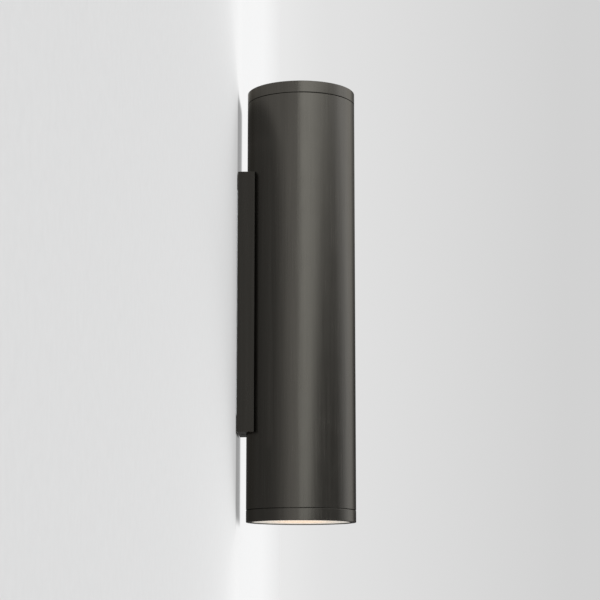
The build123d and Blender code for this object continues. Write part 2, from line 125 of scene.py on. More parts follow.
# the photograph's camera, fitted to the tube and the box
cameraLook = {
    "place": (-1.265165, -0.070615, -0.207869),
    "towardsWall": 1.260,
    "tiltUp": 9.478,
    "lens": 111.02,
}
cameraData = bpy.data.cameras.new("photoCamera")
cameraData.lens = cameraLook["lens"]
camera = bpy.data.objects.new("photoCamera", cameraData)
camera.location = cameraLook["place"]
camera.rotation_euler = (
    math.radians(90 + cameraLook["tiltUp"]),
    0,
    math.radians(cameraLook["towardsWall"] - 90),
)
bpy.context.scene.collection.objects.link(camera)
bpy.context.scene.camera = camera
bpy.context.scene.view_settings.view_transform = "Standard"

# the studio: soft boxes in a pale room, by heading and height in degrees; a pair is an edge's start and end
studio = {
    "surround": 0.45, "surroundHigh": 1.25, "surroundRise": (5, 17),
    "overhead": -0.55, "overheadRise": (24, 50),
    "behind": 0.25, "behindRise": (132, 165),
    "boxFoot": (-34, -10), "boxTop": (30, 48),
    "lean": 2.0, "leanStart": 13.5,
    "spread": 14, "spreadRise": (14, 17), "reach": 9, "reachRise": (6, 14),
    "boxOne": 2.3, "boxOneEdges": ((-24, -20), (-3, 12)), "boxOneTint": colour(0.97, 1.0, 1.0),
    "boxOneFar": 0.82, "boxOneFade": (0, 40),
    "boxTwo": 2.3, "boxTwoEdges": ((84, 124), (132, 148)), "boxTwoTint": colour(0.95, 0.985, 1.06),
    "boxThree": 1.3, "boxThreeEdges": ((-172, -160), (-136, -124)), "boxThreeTint": colour(0.97, 1.0, 1.0),
    "fill": 0.9,
    "backdrop": 0.752, "backdropBright": 0.83, "besideWall": (0.0, 0.045),
    "backdropFar": -0.107, "farFromWall": (-0.12, 0),
}
world = bpy.data.worlds.new("studioRoom")
bpy.context.scene.world = world
world.use_nodes = True
tree = world.node_tree
tree.nodes.clear()
direction = addNode(tree, "TexCoord").outputs["Generated"]
xyz = addNode(tree, "SeparateXYZ", {"Vector": direction})
towardsLeft = calc(tree, "MULTIPLY", xyz.outputs["X"], -1.0)
towardsRoom = calc(tree, "MULTIPLY", xyz.outputs["Y"], -1.0)
heading = calc(tree, "DEGREES", calc(tree, "ARCTAN2", towardsRoom, towardsLeft))
height = calc(tree, "DEGREES", calc(tree, "ARCSINE", xyz.outputs["Z"]))
# the first two boxes spread towards each other the higher they are
spread = remap(tree, height, *studio["spreadRise"], 0, studio["spread"])
leaning = calc(tree, "MULTIPLY_ADD", height, studio["lean"], studio["leanStart"])
leaning = calc(tree, "ADD", leaning, spread)
pastLean = calc(tree, "SUBTRACT", heading, leaning)
reaching = calc(tree, "ADD", heading, remap(tree, height, *studio["reachRise"], 0, studio["reach"]))
reaching = calc(tree, "ADD", reaching, spread)
boxHeight = between(tree, height, studio["boxFoot"], height, studio["boxTop"])
surround = remap(tree, height, *studio["surroundRise"], studio["surround"], studio["surroundHigh"], True)
overhead = remap(tree, height, *studio["overheadRise"], 0, studio["overhead"], True)
around = calc(tree, "ABSOLUTE", heading)
darkBehind = remap(tree, around, *studio["behindRise"], 1, studio["behind"], True)
light = calc(tree, "MULTIPLY", calc(tree, "ADD", surround, overhead), darkBehind)
lightColour = mixColour(tree, 1.0, colour(1, 1, 1), light, "MULTIPLY")
for box, rising, falling in (
    ("boxOne", heading, pastLean), ("boxTwo", reaching, heading), ("boxThree", heading, heading),
):
    rise, fall = studio[box + "Edges"]
    shape = between(tree, rising, rise, falling, fall)
    if box == "boxOne":
        dimming = remap(tree, heading, *studio["boxOneFade"], 1, studio["boxOneFar"])
        shape = calc(tree, "MULTIPLY", shape, dimming)
    power = calc(tree, "MULTIPLY", calc(tree, "MULTIPLY", shape, boxHeight), studio[box])
    tinted = mixColour(tree, 1.0, studio[box + "Tint"], power, "MULTIPLY")
    lightColour = mixColour(tree, 1.0, lightColour, tinted, "ADD")
lights = addNode(tree, "Background", {"Color": lightColour, "Strength": studio["fill"]})
# what the camera sees behind the light is a plain pale backdrop, whiter beside the wall
depth = xyz.outputs["Y"]
pale = remap(tree, depth, *studio["besideWall"], studio["backdrop"], studio["backdropBright"], True)
pale = calc(tree, "ADD", pale, remap(tree, depth, *studio["farFromWall"], studio["backdropFar"], 0))
backdrop = addNode(tree, "Background", {"Color": colour(1, 1, 1), "Strength": pale})
lightPath = addNode(tree, "LightPath")
seen = calc(
    tree, "MAXIMUM", lightPath.outputs["Is Camera Ray"], lightPath.outputs["Is Transmission Ray"]
)
mixed = addNode(tree, "MixShader", {0: seen, 1: lights.outputs[0], 2: backdrop.outputs[0]})
addNode(tree, "OutputWorld", {"Surface": mixed.outputs[0]})


# the stage: the wall behind the light and a pale floor below it
def stagePlane(name, corners):
    bm = bmesh.new()
    bm.faces.new([bm.verts.new(corner) for corner in corners])
    mesh = bpy.data.meshes.new(name)
    bm.to_mesh(mesh)
    bm.free()
    plane = bpy.data.objects.new(name, mesh)
    bpy.context.scene.collection.objects.link(plane)
    return plane


def newMaterial(name):
    material = bpy.data.materials.new(name)
    material.use_nodes = True
    material.node_tree.nodes.clear()
    return material, material.node_tree


def output(tree, shader):
    addNode(tree, "OutputMaterial", {"Surface": shader.outputs[0]})


wallLook = {
    "left": -0.90, "right": 0.90, "behind": 0.0004, "top": 0.75, "bottom": -0.9,
    "paint": colour(0.66, 0.66, 0.655), "painted": 0.12,
    "grit": 900.0, "mottle": 160.0, "mottleTones": (0.982, 1.018),
    # to the camera: its tone left of the light, behind the tube and right of it
    "tone": 0.70, "toneBehind": 0.345, "tubeEdge": (-0.017, -0.007),
    "toneRight": 0.93, "toneRightFar": 0.81, "rightEdge": (0.030, 0.052), "farRight": (0.4, 0.9),
    "glow": 0.24, "glowLength": 0.30, "glowSlope": 0.15, "edge": 0.1485, "crispEdge": 0.0045, "softer": 0.8,
    "shade": 0.05, "shadeLength": 0.12,
    "boxShade": 0.13, "boxShadeLength": 0.09, "boxShadeEnd": (0.05, 0.16),
    "boxEnd": (0.0895, 0.092), "boxLeft": (-0.0165, -0.0150), "boxRight": (0.0195, 0.0205),
    # in the metal: its tone near and far, and the light's own shadow
    "near": 1.05, "far": 1.52, "farLength": 0.18,
    "shadow": 0.385, "shadowRight": 0.15, "shadowTurn": (-0.02, 0.01),
    "shadowWide": 0.073, "shadowTall": 0.1465, "shadowRound": 2.6,
    "crisp": 5.0, "crispHigh": 10.0, "crispRise": (0.05, 0.115),
    "crispTop": 30.0, "crispTopRise": (0.115, 0.140), "closest": 0.002,
}
wall = stagePlane("stageWall", [
    (wallLook["left"], wallLook["behind"], wallLook["bottom"]),
    (wallLook["right"], wallLook["behind"], wallLook["bottom"]),
    (wallLook["right"], wallLook["behind"], wallLook["top"]),
    (wallLook["left"], wallLook["behind"], wallLook["top"]),
])


def plainGlow(tree, strength):
    return addNode(tree, "Emission", {"Color": colour(1, 1, 1), "Strength": strength}).outputs[0]


def fromFront(tree, ray):
    # 1 where a ray of this kind meets the stage's front
    front = calc(tree, "SUBTRACT", 1.0, addNode(tree, "NewGeometry").outputs["Backfacing"])
    return calc(tree, "MULTIPLY", addNode(tree, "LightPath").outputs[ray], front)


material, tree = newMaterial("wallPaint")
coordinates = objectSpace(tree)
painted = addNode(tree, "BsdfPrincipled", {
    "Base Color": wallLook["paint"],
    "Roughness": 0.8,
    "Normal": bumped(tree, noise(tree, coordinates, wallLook["grit"], 3.0), 0.05, 0.0002),
})
place = addNode(tree, "SeparateXYZ", {"Vector": coordinates})
sideways = place.outputs["X"]
leftward = calc(tree, "MAXIMUM", calc(tree, "MULTIPLY", sideways, -1.0), 0.0)
upward = calc(tree, "MAXIMUM", place.outputs["Z"], 0.0)
# in the metal the wall shows bright, with the light's own soft shadow, rounded at the top
wide = calc(tree, "POWER", calc(tree, "DIVIDE", leftward, wallLook["shadowWide"]), wallLook["shadowRound"])
tall = calc(tree, "POWER", calc(tree, "DIVIDE", upward, wallLook["shadowTall"]), wallLook["shadowRound"])
outside = calc(tree, "POWER", calc(tree, "ADD", wide, tall), 1 / wallLook["shadowRound"])
crisp = remap(tree, upward, *wallLook["crispRise"], wallLook["crisp"], wallLook["crispHigh"])
crisp = calc(tree, "ADD", crisp, remap(tree, upward, *wallLook["crispTopRise"], 0.0, wallLook["crispTop"]))
lit = calc(tree, "POWER", outside, crisp)
lit = calc(tree, "DIVIDE", lit, calc(tree, "ADD", lit, 1.0))
bright = remap(
    tree, nearness(tree, leftward, wallLook["farLength"]), 1.0, 0.0, wallLook["near"], wallLook["far"]
)
shadow = remap(tree, sideways, *wallLook["shadowTurn"], wallLook["shadow"], wallLook["shadowRight"])
mirrored = plainGlow(tree, blend(tree, lit, shadow, bright))
# the camera sees pale paint, brighter above and below the light, shaded beside it and behind it;
# the shade's edge is crisp at the light and soft further off
aside = calc(tree, "ABSOLUTE", place.outputs["Z"])
past = calc(tree, "SUBTRACT", aside, wallLook["edge"])
past = calc(tree, "MULTIPLY_ADD", leftward, wallLook["glowSlope"], past)
softness = calc(tree, "MULTIPLY_ADD", leftward, wallLook["softer"], wallLook["crispEdge"])
atLight = remap(tree, calc(tree, "DIVIDE", past, softness), -1.0, 1.0, 1.0, 0.0, True)
glowing, shaded, boxShaded = (
    calc(tree, "MULTIPLY", nearness(tree, leftward, wallLook[kind + "Length"]), sign * wallLook[kind])
    for kind, sign in (("glow", 1), ("shade", -1), ("boxShade", -1))
)
tone = calc(tree, "ADD", blend(tree, atLight, glowing, shaded), wallLook["tone"])
besideBox = remap(tree, aside, *wallLook["boxShadeEnd"], 1.0, 0.0, True)
tone = calc(tree, "MULTIPLY_ADD", besideBox, boxShaded, tone)
behindTube = calc(tree, "MULTIPLY", atLight, remap(tree, sideways, *wallLook["tubeEdge"], smooth=True))
tone = blend(tree, behindTube, tone, wallLook["toneBehind"])
toneRight = remap(tree, sideways, *wallLook["farRight"], wallLook["toneRight"], wallLook["toneRightFar"])
tone = blend(tree, remap(tree, sideways, *wallLook["rightEdge"], smooth=True), tone, toneRight)
mottle = noise(tree, coordinates, wallLook["mottle"], 4.0, roughness=0.7)
tone = calc(tree, "MULTIPLY", tone, remap(tree, mottle, *wideSpan, *wallLook["mottleTones"]))
# behind the box it is bare paint, dark only where the box shades it
behindBox = between(tree, sideways, wallLook["boxLeft"], sideways, wallLook["boxRight"], smooth=False)
behindBox = calc(tree, "MULTIPLY", remap(tree, aside, *wallLook["boxEnd"], 1.0, 0.0, True), behindBox)
share = blend(tree, behindBox, wallLook["painted"], 1.0)
pale = addNode(tree, "MixShader", {0: share, 1: plainGlow(tree, tone), 2: painted.outputs[0]})
clear = addNode(tree, "BsdfTransparent")
rayLength = addNode(tree, "LightPath").outputs["Ray Length"]
farEnough = calc(tree, "GREATER_THAN", rayLength, wallLook["closest"])
toGloss = calc(tree, "MULTIPLY", fromFront(tree, "Is Glossy Ray"), farEnough)
shown = addNode(tree, "MixShader", {0: toGloss, 1: clear.outputs[0], 2: mirrored})
toCamera = fromFront(tree, "Is Camera Ray")
shown = addNode(tree, "MixShader", {0: toCamera, 1: shown.outputs[0], 2: pale.outputs[0]})
output(tree, shown)
wall.data.materials.append(material)

# a small dark card in front of the box's side, which only the gloss sees: a painted darker reflection in the
# box's side
cardLook = {"away": -0.036, "back": -0.0005, "front": -0.0175, "low": -0.10, "high": 0.105, "tone": 0.5}
card = stagePlane("stageCard", [
    (cardLook["away"], cardLook["back"], cardLook["low"]),
    (cardLook["away"], cardLook["back"], cardLook["high"]),
    (cardLook["away"], cardLook["front"], cardLook["high"]),
    (cardLook["away"], cardLook["front"], cardLook["low"]),
])
material, tree = newMaterial("cardPaint")
clear = addNode(tree, "BsdfTransparent")
dark = plainGlow(tree, cardLook["tone"])
shown = addNode(tree, "MixShader", {0: fromFront(tree, "Is Glossy Ray"), 1: clear.outputs[0], 2: dark})
output(tree, shown)
card.data.materials.append(material)

# the lamps' own light on the wall, above and below
beamLook = {"power": 0.5, "cone": 74, "blend": 0.9, "size": 0.02, "out": 0.153, "colour": (1.0, 0.93, 0.84)}
for end in (-1, 1):
    beam = bpy.data.lights.new("beam", "SPOT")
    beam.energy = beamLook["power"]
    beam.color = beamLook["colour"]
    beam.spot_size = math.radians(beamLook["cone"])
    beam.spot_blend = beamLook["blend"]
    beam.shadow_soft_size = beamLook["size"]
    lamp = bpy.data.objects.new("beam", beam)
    lamp.location = (0, axisY * mm, end * beamLook["out"])
    lamp.rotation_euler = (math.pi if end > 0 else 0, 0, 0)  # a spot shines down its own Z
    bpy.context.scene.collection.objects.link(lamp)

floorLook = {"height": -0.9, "reach": 1.8, "paint": colour(0.78, 0.78, 0.77), "grit": 400.0}
floor = stagePlane("stageFloor", [
    (side * floorLook["reach"], end * floorLook["reach"], floorLook["height"])
    for side, end in ((-1, -1), (1, -1), (1, 1), (-1, 1))
])
material, tree = newMaterial("floorPaint")
grit = noise(tree, objectSpace(tree), floorLook["grit"], 3.0)
painted = addNode(tree, "BsdfPrincipled", {
    "Base Color": floorLook["paint"], "Roughness": 0.7, "Normal": bumped(tree, grit, 0.05, 0.0004),
})
clear = addNode(tree, "BsdfTransparent")
behind = addNode(tree, "NewGeometry").outputs["Backfacing"]
shown = addNode(tree, "MixShader", {0: behind, 1: painted.outputs[0], 2: clear.outputs[0]})
output(tree, shown)
floor.data.materials.append(material)
print("stage and studio lights made")


# effects that several finishes share
def newGroup(name, inputs, outputs):
    group = bpy.data.node_groups.new(name, "ShaderNodeTree")
    for socketName, kind, value in inputs:
        socket = group.interface.new_socket(socketName, in_out="INPUT", socket_type="NodeSocket" + kind)
        socket.default_value = value
    for socketName, kind in outputs:
        group.interface.new_socket(socketName, in_out="OUTPUT", socket_type="NodeSocket" + kind)
    return group, group.nodes.new("NodeGroupInput").outputs, group.nodes.new("NodeGroupOutput")


def useGroup(tree, group, inputs):
    return addNode(tree, "Group", inputs, node_tree=group).outputs


# fine upright brushing: noise drawn out along Z, in two widths
broadShare = 0.12  # the broad lines' count, as a share of the fine lines'
grainGroup, given, result = newGroup(
    "uprightGrain",
    [("Vector", "Vector", (0, 0, 0)), ("Lines", "Float", 1400.0), ("Length", "Float", 0.02)],
    [("Grain", "Float"), ("Drift", "Float")],
)
stretch = addNode(grainGroup, "CombineXYZ", {0: 1.0, 1: 1.0, 2: given["Length"]}).outputs[0]
drawn = addNode(grainGroup, "VectorMath", {0: given["Vector"], 1: stretch}, operation="MULTIPLY").outputs[0]
broadLines = calc(grainGroup, "MULTIPLY", given["Lines"], broadShare)
grainGroup.links.new(noise(grainGroup, drawn, given["Lines"], 4.0, roughness=0.6), result.inputs["Grain"])
grainGroup.links.new(noise(grainGroup, drawn, broadLines, 2.0), result.inputs["Drift"])

# worn edges: where the rounded normal leaves the true one, broken up by noise
edgeSpan = (0.995, 0.86)  # how alike the two normals are where wear starts and where it is full
wearGroup, given, result = newGroup(
    "edgeWear",
    [("Vector", "Vector", (0, 0, 0)), ("Radius", "Float", 0.0006), ("Breakup", "Float", 500.0)],
    [("Mask", "Float")],
)
rounded = addNode(wearGroup, "Bevel", {"Radius": given["Radius"]}, samples=4).outputs[0]
trueNormal = addNode(wearGroup, "NewGeometry").outputs["Normal"]
likeness = addNode(wearGroup, "VectorMath", {0: rounded, 1: trueNormal}, operation="DOT_PRODUCT")
atEdge = remap(wearGroup, likeness.outputs["Value"], *edgeSpan)
breakup = noise(wearGroup, given["Vector"], given["Breakup"], 4.0)
patches = remap(wearGroup, breakup, 0.38, 0.62, 0.15, 1.0)
wearGroup.links.new(calc(wearGroup, "MULTIPLY", atEdge, patches), result.inputs["Mask"])

# dust and handling: a thin film that lies on what faces up, and faint smears all over
filmGroup, given, result = newGroup(
    "dustFilm",
    [("Vector", "Vector", (0, 0, 0)), ("Size", "Float", 60.0)],
    [("Dust", "Float"), ("Smear", "Float")],
)
facing = addNode(filmGroup, "SeparateXYZ", {"Vector": addNode(filmGroup, "NewGeometry").outputs["Normal"]})
facingUp = remap(filmGroup, facing.outputs["Z"], 0.3, 1.0)
clumps = noise(filmGroup, given["Vector"], 900.0, 5.0, roughness=0.7)
dust = calc(filmGroup, "MULTIPLY", facingUp, remap(filmGroup, clumps, 0.4, 0.7, 0.1, 1.0))
smears = noise(filmGroup, given["Vector"], given["Size"], 3.0, distortion=0.8)
filmGroup.links.new(dust, result.inputs["Dust"])
filmGroup.links.new(remap(filmGroup, smears, *narrowSpan), result.inputs["Smear"])

# moulded and fired surfaces: small pits and a slow change of tone
pitGroup, given, result = newGroup(
    "finePits",
    [("Vector", "Vector", (0, 0, 0)), ("Scale", "Float", 1500.0)],
    [("Pits", "Float"), ("Tone", "Float")],
)
spot, pitSize = given["Vector"], given["Scale"]
cells = addNode(pitGroup, "TexVoronoi", {"Vector": spot, "Scale": pitSize}, feature="SMOOTH_F1")
powder = calc(pitGroup, "MULTIPLY", noise(pitGroup, spot, pitSize, 4.0), 0.5)
pitGroup.links.new(calc(pitGroup, "ADD", cells.outputs["Distance"], powder), result.inputs["Pits"])
pitGroup.links.new(noise(pitGroup, spot, 45.0, 2.0), result.inputs["Tone"])
print("shared effects made")


# finishes; dust and wear lie over the colour of both kinds, metal and moulded
paleDust = colour(0.30, 0.29, 0.27)


def weathered(tree, base, film, wear, look):
    base = mixColour(tree, calc(tree, "MULTIPLY", film["Dust"], look["dust"]), base, paleDust)
    return mixColour(tree, calc(tree, "MULTIPLY", wear["Mask"], look["wear"]), base, look["bare"])


metalMix = {"fine": 0.6, "broad": 0.4, "dustRoughness": 0.5, "bumpDepth": 0.00005}


def metalFinish(name, look):
    material, tree = newMaterial(name)
    coordinates = objectSpace(tree)
    grain = useGroup(tree, grainGroup, {
        "Vector": coordinates, "Lines": look["lines"], "Length": look["length"],
    })
    film = useGroup(tree, filmGroup, {"Vector": coordinates, "Size": look["smearSize"]})
    wear = useGroup(tree, wearGroup, {"Vector": coordinates, "Radius": look["wearRadius"]})
    fine = calc(tree, "MULTIPLY", grain["Grain"], metalMix["fine"])
    tone = calc(tree, "ADD", fine, calc(tree, "MULTIPLY", grain["Drift"], metalMix["broad"]))
    base = mixColour(tree, remap(tree, tone, *narrowSpan), look["dark"], look["light"])
    roughness = remap(tree, grain["Grain"], *wideSpan, look["smooth"], look["rough"])
    roughness = calc(tree, "ADD", roughness, calc(tree, "MULTIPLY", film["Smear"], look["smear"]))
    dusty = calc(tree, "MULTIPLY", film["Dust"], look["dust"] * metalMix["dustRoughness"])
    roughness = calc(tree, "ADD", roughness, dusty, clamp=True)
    shader = addNode(tree, "BsdfPrincipled", {
        "Base Color": weathered(tree, base, film, wear, look),
        "Metallic": look.get("metallic", 1.0),
        "Roughness": roughness,
        "Specular Tint": look.get("edgeTint", colour(1, 1, 1)),  # how a metal shines at its edges
        "Normal": bumped(tree, grain["Grain"], look["bump"], metalMix["bumpDepth"]),
    })
    output(tree, shader)
    return material


metalLooks = {
    "bronze": {
        "dark": colour(0.050, 0.0470, 0.0415), "light": colour(0.062, 0.0583, 0.0515),
        "bare": colour(0.115, 0.105, 0.09),
        "lines": 1500.0, "length": 0.012, "smooth": 0.20, "rough": 0.26, "bump": 0.05,
        "wear": 0.35, "wearRadius": 0.0005, "dust": 0.10, "smear": 0.03, "smearSize": 45.0,
        "edgeTint": colour(0.56, 0.55, 0.53),
    },
    "zincSteel": {
        "dark": colour(0.40, 0.41, 0.42), "light": colour(0.56, 0.57, 0.58),
        "bare": colour(0.68, 0.68, 0.69),
        "lines": 500.0, "length": 0.35, "smooth": 0.30, "rough": 0.44, "bump": 0.12,
        "wear": 0.5, "wearRadius": 0.0004, "dust": 0.18, "smear": 0.08, "smearSize": 60.0,
    },
    "brightSteel": {
        "dark": colour(0.52, 0.52, 0.53), "light": colour(0.66, 0.66, 0.67),
        "bare": colour(0.76, 0.76, 0.77),
        "lines": 2200.0, "length": 0.3, "smooth": 0.18, "rough": 0.30, "bump": 0.08,
        "wear": 0.4, "wearRadius": 0.0002, "dust": 0.12, "smear": 0.05, "smearSize": 150.0,
    },
    "blackSteel": {
        "dark": colour(0.018, 0.018, 0.019), "light": colour(0.036, 0.036, 0.037),
        "bare": colour(0.22, 0.21, 0.20), "metallic": 0.9,
        "lines": 1800.0, "length": 0.5, "smooth": 0.32, "rough": 0.46, "bump": 0.10,
        "wear": 0.5, "wearRadius": 0.0002, "dust": 0.10, "smear": 0.05, "smearSize": 150.0,
    },
    "brass": {
        "dark": colour(0.52, 0.37, 0.14), "light": colour(0.70, 0.52, 0.22),
        "bare": colour(0.84, 0.66, 0.34),
        "lines": 2000.0, "length": 0.4, "smooth": 0.20, "rough": 0.34, "bump": 0.08,
        "wear": 0.4, "wearRadius": 0.0002, "dust": 0.10, "smear": 0.08, "smearSize": 120.0,
    },
}
finishes = {name: metalFinish(name, look) for name, look in metalLooks.items()}


mouldedMix = {"speckSpan": (0.25, 0.45), "pitSpan": (0.2, 1.0), "scatterDepth": 0.0015, "bumpDepth": 0.00008}


def mouldedFinish(name, look):
    material, tree = newMaterial(name)
    coordinates = objectSpace(tree)
    pits = useGroup(tree, pitGroup, {"Vector": coordinates, "Scale": look["pitScale"]})
    film = useGroup(tree, filmGroup, {"Vector": coordinates, "Size": look["smearSize"]})
    wear = useGroup(tree, wearGroup, {"Vector": coordinates, "Radius": look["wearRadius"]})
    base = mixColour(tree, remap(tree, pits["Tone"], *narrowSpan), look["dark"], look["light"])
    speck = remap(tree, pits["Pits"], *mouldedMix["speckSpan"], look["specks"], 0.0)
    base = mixColour(tree, speck, base, look["speckColour"])
    roughness = remap(tree, pits["Pits"], *mouldedMix["pitSpan"], look["smooth"], look["rough"])
    smeared = calc(tree, "MULTIPLY", film["Smear"], look["smear"])
    roughness = calc(tree, "ADD", roughness, smeared, clamp=True)
    shader = addNode(tree, "BsdfPrincipled", {
        "Base Color": weathered(tree, base, film, wear, look),
        "Roughness": roughness,
        "Coat Weight": look.get("coat", 0.0),
        "Coat Roughness": look.get("coatRoughness", 0.1),
        "Subsurface Weight": look.get("softness", 0.0),
        "Subsurface Scale": mouldedMix["scatterDepth"],
        "Normal": bumped(tree, pits["Pits"], look["bump"], mouldedMix["bumpDepth"]),
    })
    output(tree, shader)
    return material


sleeveForm = {
    "pitScale": 2500.0, "specks": 0.2, "smooth": 0.34, "rough": 0.46, "bump": 0.06,
    "wear": 0.0, "wearRadius": 0.0001, "dust": 0.08, "smear": 0.05, "smearSize": 200.0,
}
mouldedLooks = {
    "blackRubber": {
        "dark": colour(0.012, 0.012, 0.012), "light": colour(0.022, 0.022, 0.022),
        "bare": colour(0.05, 0.05, 0.05), "speckColour": colour(0.03, 0.03, 0.03),
        "pitScale": 1400.0, "specks": 0.3, "smooth": 0.55, "rough": 0.75, "bump": 0.25,
        "wear": 0.5, "wearRadius": 0.0003, "dust": 0.2, "smear": 0.06, "smearSize": 90.0,
    },
    "silicone": {
        "dark": colour(0.50, 0.50, 0.48), "light": colour(0.58, 0.58, 0.56),
        "bare": colour(0.66, 0.66, 0.64), "speckColour": colour(0.46, 0.46, 0.45),
        "pitScale": 1200.0, "specks": 0.2, "smooth": 0.45, "rough": 0.62, "bump": 0.12,
        "wear": 0.2, "wearRadius": 0.0002, "dust": 0.1, "smear": 0.06, "smearSize": 90.0, "softness": 0.3,
    },
    "nylon": {
        "dark": colour(0.66, 0.64, 0.57), "light": colour(0.74, 0.72, 0.66),
        "bare": colour(0.82, 0.80, 0.75), "speckColour": colour(0.60, 0.58, 0.50),
        "pitScale": 1500.0, "specks": 0.2, "smooth": 0.40, "rough": 0.55, "bump": 0.12,
        "wear": 0.3, "wearRadius": 0.0002, "dust": 0.12, "smear": 0.08, "smearSize": 110.0, "softness": 0.3,
    },
    "whitePlastic": {
        "dark": colour(0.68, 0.68, 0.65), "light": colour(0.74, 0.74, 0.71),
        "bare": colour(0.80, 0.80, 0.78), "speckColour": colour(0.60, 0.60, 0.57),
        "pitScale": 1800.0, "specks": 0.15, "smooth": 0.36, "rough": 0.50, "bump": 0.10,
        "wear": 0.3, "wearRadius": 0.0002, "dust": 0.12, "smear": 0.06, "smearSize": 110.0, "softness": 0.15,
    },
    "lampWhite": {
        "dark": colour(0.72, 0.72, 0.69), "light": colour(0.77, 0.77, 0.74),
        "bare": colour(0.82, 0.82, 0.80), "speckColour": colour(0.66, 0.66, 0.63),
        "pitScale": 1600.0, "specks": 0.1, "smooth": 0.22, "rough": 0.32, "bump": 0.06,
        "wear": 0.3, "wearRadius": 0.0003, "dust": 0.12, "smear": 0.06, "smearSize": 80.0,
        "coat": 0.3, "coatRoughness": 0.12,
    },
    "ceramic": {
        "dark": colour(0.70, 0.68, 0.61), "light": colour(0.79, 0.775, 0.72),
        "bare": colour(0.85, 0.84, 0.80), "speckColour": colour(0.50, 0.47, 0.40),
        "pitScale": 1100.0, "specks": 0.35, "smooth": 0.55, "rough": 0.80, "bump": 0.30,
        "wear": 0.4, "wearRadius": 0.0003, "dust": 0.15, "smear": 0.05, "smearSize": 70.0,
    },
    "liveSleeve": {
        "dark": colour(0.070, 0.018, 0.005), "light": colour(0.105, 0.030, 0.009),
        "bare": colour(0.14, 0.05, 0.02), "speckColour": colour(0.05, 0.014, 0.004),
        **sleeveForm,
    },
    "neutralSleeve": {
        "dark": colour(0.008, 0.034, 0.17), "light": colour(0.013, 0.050, 0.24),
        "bare": colour(0.03, 0.08, 0.3), "speckColour": colour(0.006, 0.025, 0.12),
        **sleeveForm,
    },
}
finishes.update({name: mouldedFinish(name, look) for name, look in mouldedLooks.items()})

# the earth wire's sleeve has a yellow stripe down each side of the green
sleeveLook = {
    "green": colour(0.045, 0.21, 0.012), "yellow": colour(0.62, 0.50, 0.02),
    "stripe": (0.0007, 0.00078), "pitScale": 2500.0, "smooth": 0.34, "rough": 0.48, "bump": 0.06,
}
material, tree = newMaterial("earthSleeve")
coordinates = objectSpace(tree)
across = calc(tree, "ABSOLUTE", addNode(tree, "SeparateXYZ", {"Vector": coordinates}).outputs["X"])
pits = useGroup(tree, pitGroup, {"Vector": coordinates, "Scale": sleeveLook["pitScale"]})
stripe = remap(tree, across, *sleeveLook["stripe"])
base = mixColour(tree, stripe, sleeveLook["green"], sleeveLook["yellow"])
roughness = remap(tree, pits["Pits"], *mouldedMix["pitSpan"], sleeveLook["smooth"], sleeveLook["rough"])
shader = addNode(tree, "BsdfPrincipled", {
    "Base Color": base,
    "Roughness": roughness,
    "Normal": bumped(tree, pits["Pits"], sleeveLook["bump"], mouldedMix["bumpDepth"]),
})
output(tree, shader)
finishes["earthSleeve"] = material

# the lens glows from the lamp behind it: near white at the rim, warmer and stronger over the lamp
lensLook = {
    "body": colour(0.50, 0.48, 0.45),
    "bodyPale": colour(0.53, 0.51, 0.48),
    "middle": colour(1.0, 0.67, 0.41),
    "rim": colour(0.95, 0.86, 0.74),
    "glowMiddle": 0.66,
    "glowRim": 0.26,
    "radius": 0.0343,
    "fade": (0.25, 0.98),
    "cloudTones": (0.96, 1.04),
    "smooth": 0.42,
    "rough": 0.6,
}
material, tree = newMaterial("frostedLens")
coordinates = objectSpace(tree)
flat = addNode(tree, "Mapping", {
    "Vector": coordinates, "Location": (0, -axisY * mm, 0), "Scale": (1, 1, 0),
}, vector_type="POINT").outputs[0]
outward = addNode(tree, "VectorMath", {0: flat}, operation="LENGTH").outputs["Value"]
outward = calc(tree, "DIVIDE", outward, lensLook["radius"])
fromMiddle = remap(tree, outward, *lensLook["fade"], smooth=True)
frost = noise(tree, coordinates, 3500.0, 3.0)
cloud = noise(tree, coordinates, 70.0, 2.0)
glow = remap(tree, fromMiddle, 0.0, 1.0, lensLook["glowMiddle"], lensLook["glowRim"])
glow = calc(tree, "MULTIPLY", glow, remap(tree, cloud, *wideSpan, *lensLook["cloudTones"]))
glowColour = mixColour(tree, fromMiddle, lensLook["middle"], lensLook["rim"])
shader = addNode(tree, "BsdfPrincipled", {
    "Base Color": mixColour(tree, cloud, lensLook["body"], lensLook["bodyPale"]),
    "Roughness": remap(tree, frost, *wideSpan, lensLook["smooth"], lensLook["rough"]),
    "Emission Color": mixColour(tree, 1.0, glowColour, glow, "MULTIPLY"),
    "Emission Strength": 1.0,
    "Normal": bumped(tree, frost, 0.2, 0.00005),
})
output(tree, shader)
finishes["frostedLens"] = material

# the lamp's own glass: clear, with the light source showing through it
glassLook = {
    "body": colour(0.95, 0.94, 0.90), "smooth": 0.05, "rough": 0.16, "clear": 0.85,
    "glow": 0.35, "glowColour": colour(1.0, 0.80, 0.56),
}
material, tree = newMaterial("lampGlass")
ripple = noise(tree, objectSpace(tree), 1800.0, 2.0)
shader = addNode(tree, "BsdfPrincipled", {
    "Base Color": glassLook["body"],
    "Roughness": remap(tree, ripple, *wideSpan, glassLook["smooth"], glassLook["rough"]),
    "IOR": 1.49,
    "Transmission Weight": glassLook["clear"],
    "Emission Color": glassLook["glowColour"],
    "Emission Strength": glassLook["glow"],
    "Normal": bumped(tree, ripple, 0.1, 0.00005),
})
output(tree, shader)
finishes["lampGlass"] = material
print("finishes made:", len(finishes))

